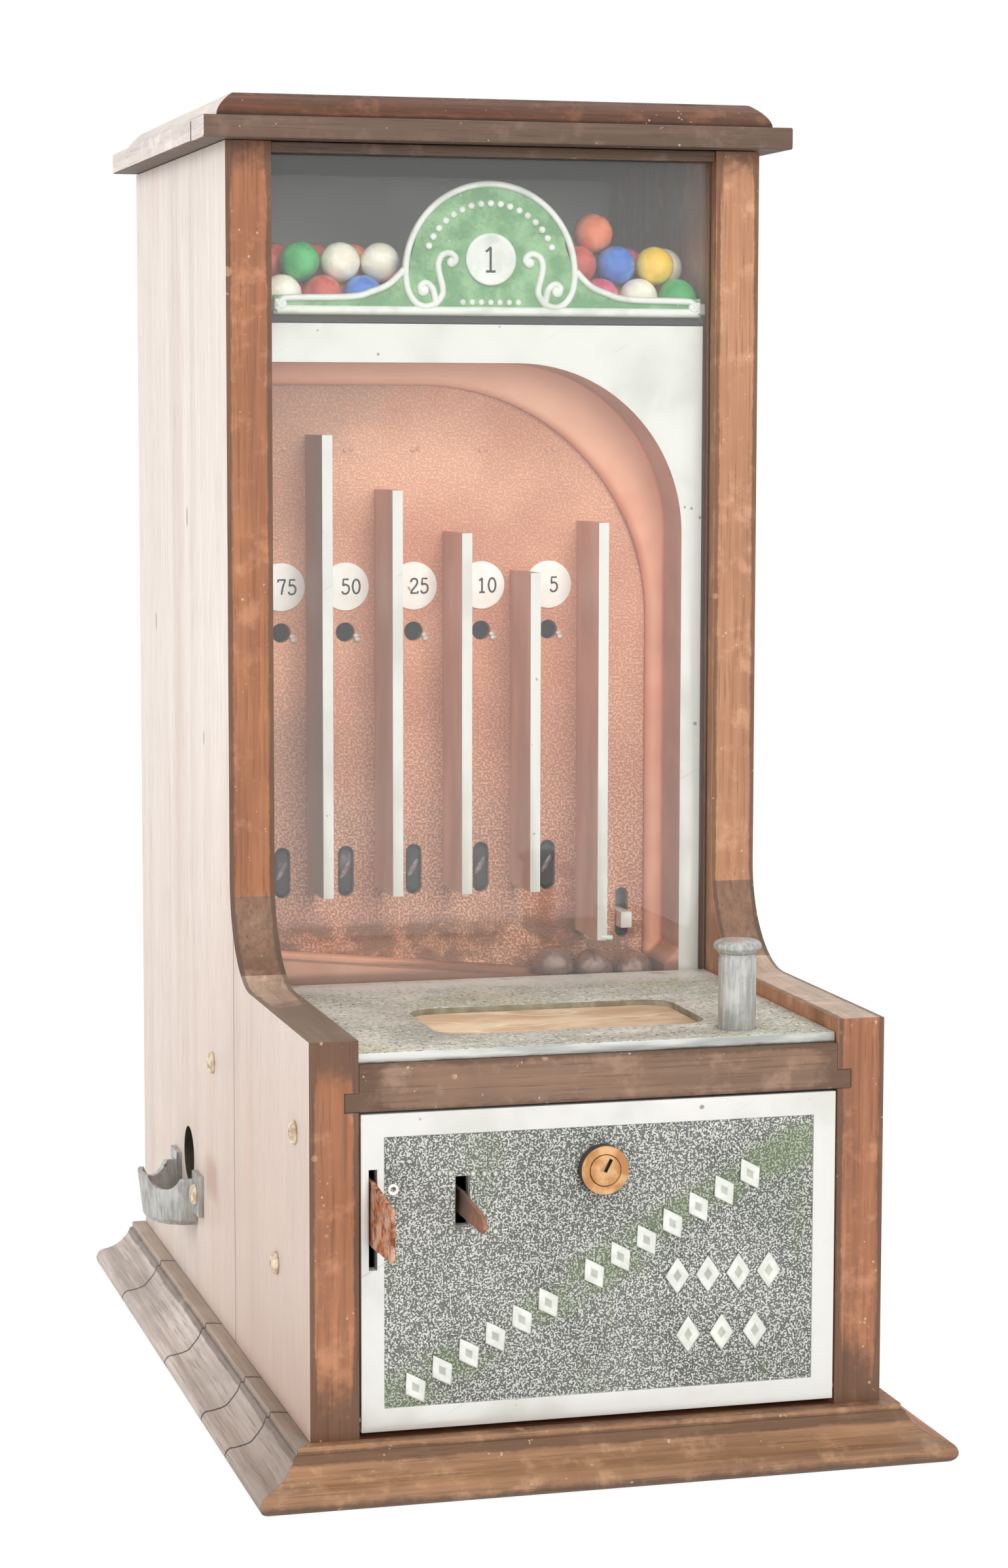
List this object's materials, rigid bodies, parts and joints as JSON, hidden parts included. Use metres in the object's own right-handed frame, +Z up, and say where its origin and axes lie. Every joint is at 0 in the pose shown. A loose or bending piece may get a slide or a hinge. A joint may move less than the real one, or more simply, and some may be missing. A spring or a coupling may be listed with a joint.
{
  "type": "trade stimulator",
  "caption": "Wooden counter ball game with a glazed playfield, thumb plunger, cast door, hinged roof and a ball gum vender in its side.",
  "frame": {"origin": "on the counter, in the middle of the base's footprint", "axes": "+X to the right of a player, the front faces -Y, +Z up"},
  "size_m": [0.2766, 0.4186, 0.5353],
  "materials": {
    "oak": "worn varnished oak",
    "dark_oak": "dark stained oak, scuffed",
    "glass": "clear pane",
    "door_casting": "polished border, grey pebbled field",
    "playfield": "copper bronze paint, worn to bright metal on the frame",
    "score_enamel": "cream enamel with plain numbers",
    "marquee": "green ground with bright raised edges",
    "pitted_aluminium": "dull and pitted",
    "pewter_aluminium": "turned, handled",
    "steel": "plain steel",
    "ball_steel": "polished ball",
    "rusty_steel": "rusty sheet steel",
    "brass": "worn brass",
    "card": "tan card, creased",
    "hopper_grey": "grey paint",
    "gum_red": "sugar shell",
    "gum_green": "sugar shell",
    "gum_white": "sugar shell",
    "gum_orange": "sugar shell",
    "gum_pink": "sugar shell",
    "gum_blue": "sugar shell",
    "gum_yellow": "sugar shell"
  },
  "bodies": {
    "case": {"side_board_left": "oak", "side_board_right": "oak", "back_panel": "dark_oak", "bottom_board": "dark_oak", "base_moulding_front": "oak", "base_moulding_left": "oak", "base_moulding_right": "oak", "front_rail": "oak", "head_rail": "dark_oak", "plate_cleats": "dark_oak", "front_glass": "glass", "roof_hinge_case_leaves": "steel", "marquee_plate": "marquee", "playfield_casting": "playfield", "score_discs": "score_enamel", "comb_rods": "steel", "striker_plate": "pitted_aluminium", "instruction_card": "card", "plunger_bush": "steel", "kicker_bracket": "steel", "kicker_pin": "steel", "kicker_spring": "steel", "coin_bracket": "steel", "coin_plate": "brass", "coin_chute": "steel", "gum_hopper": "hopper_grey", "gum_tube": "steel", "gum_bed": "steel", "gum_chute": "steel", "gum_cup": "pewter_aluminium", "cup_screws": "steel", "side_screws": "brass", "gumballs_red": "gum_red", "gumballs_green": "gum_green", "gumballs_white": "gum_white", "gumballs_orange": "gum_orange", "gumballs_pink": "gum_pink", "gumballs_blue": "gum_blue", "gumballs_yellow": "gum_yellow"},
    "lid": {"roof_slab": "dark_oak", "roof_cap": "dark_oak", "roof_hinge_lid_leaves": "steel", "roof_hinge_pins": "steel"},
    "door": {"door": "door_casting", "door_hinge_pins": "steel", "lock_housing": "brass", "lock_nut": "brass"},
    "lock": {"lock_plug": "brass", "lock_cam": "steel"},
    "plunger": {"plunger_shaft": "pewter_aluminium", "plunger_cap": "pewter_aluminium"},
    "kicker": {"kicker_arm": "steel"},
    "coin_lever": {"coin_lever": "rusty_steel"},
    "stop_comb": {"stop_comb": "steel"},
    "lane_gate": {"lane_gate": "steel"},
    "gum_slide": {"gum_slide": "rusty_steel"},
    "cash_box": {"cash_box": "steel"},
    "ball_1": {"steel_ball_1": "ball_steel"},
    "ball_2": {"steel_ball_2": "ball_steel"},
    "ball_3": {"steel_ball_3": "ball_steel"}
  },
  "joints": [
    {"name": "lid_hinge", "type": "hinge", "parent": "case", "child": "lid", "pos_m": [0, 0.205, 0.51615], "axis": [-1, 0, 0], "range_deg": [0, 100]},
    {"name": "door_hinge", "type": "hinge", "parent": "case", "child": "door", "pos_m": [0, -0.175, 0.027], "axis": [1, 0, 0], "range_deg": [0, 85]},
    {"name": "lock_turn", "type": "hinge", "parent": "door", "child": "lock", "pos_m": [0, -0.178, 0.1193], "axis": [0, 1, 0], "range_deg": [0, 90]},
    {"name": "plunger_slide", "type": "slide", "parent": "case", "child": "plunger", "axis": [0, 0, -1], "range_m": [0, 0.014], "stiffness_N_per_m": 400, "springref_m": -0.006},
    {"name": "kicker_rock", "type": "hinge", "parent": "case", "child": "kicker", "pos_m": [0.061, -0.074, 0.146], "axis": [1, 0, 0], "range_deg": [0, 10.3], "deforming": ["kicker_spring"]},
    {"name": "coin_lever_rock", "type": "hinge", "parent": "case", "child": "coin_lever", "pos_m": [-0.08985, -0.116, 0.106], "axis": [1, 0, 0], "range_deg": [0, 7.5], "stiffness_Nm_per_rad": 0.6, "springref_deg": -14.32},
    {"name": "stop_comb_slide", "type": "slide", "parent": "case", "child": "stop_comb", "axis": [0, -1, 0], "range_m": [0, 0.018]},
    {"name": "lane_gate_slide", "type": "slide", "parent": "case", "child": "lane_gate", "axis": [0, 1, 0], "range_m": [0, 0.009]},
    {"name": "gum_slide_pull", "type": "slide", "parent": "case", "child": "gum_slide", "axis": [0, -1, 0], "range_m": [0, 0.032]},
    {"name": "cash_box_slide", "type": "slide", "parent": "case", "child": "cash_box", "axis": [0, -1, 0], "range_m": [0, 0.03]},
    {"name": "ball_1_rise", "type": "slide", "parent": "case", "child": "ball_1", "axis": [0, 0, 1], "range_m": [0, 0.21]},
    {"name": "ball_2_roll", "type": "slide", "parent": "case", "child": "ball_2", "axis": [0.995, 0, -0.0995], "range_m": [0, 0.0182]},
    {"name": "ball_3_roll", "type": "slide", "parent": "case", "child": "ball_3", "axis": [0.995, 0, -0.0995], "range_m": [0, 0.0182]}
  ],
  "couplings": [
    {"joint": "kicker_rock", "follows": "plunger_slide", "rad_per_m": 12.82},
    {"joint": "stop_comb_slide", "follows": "coin_lever_rock", "m_per_rad": 0.1375},
    {"joint": "lane_gate_slide", "follows": "coin_lever_rock", "m_per_rad": 0.06875},
    {"joint": "ball_2_roll", "follows": "ball_1_rise", "ratio": 0.0862},
    {"joint": "ball_3_roll", "follows": "ball_1_rise", "ratio": 0.0862}
  ]
}
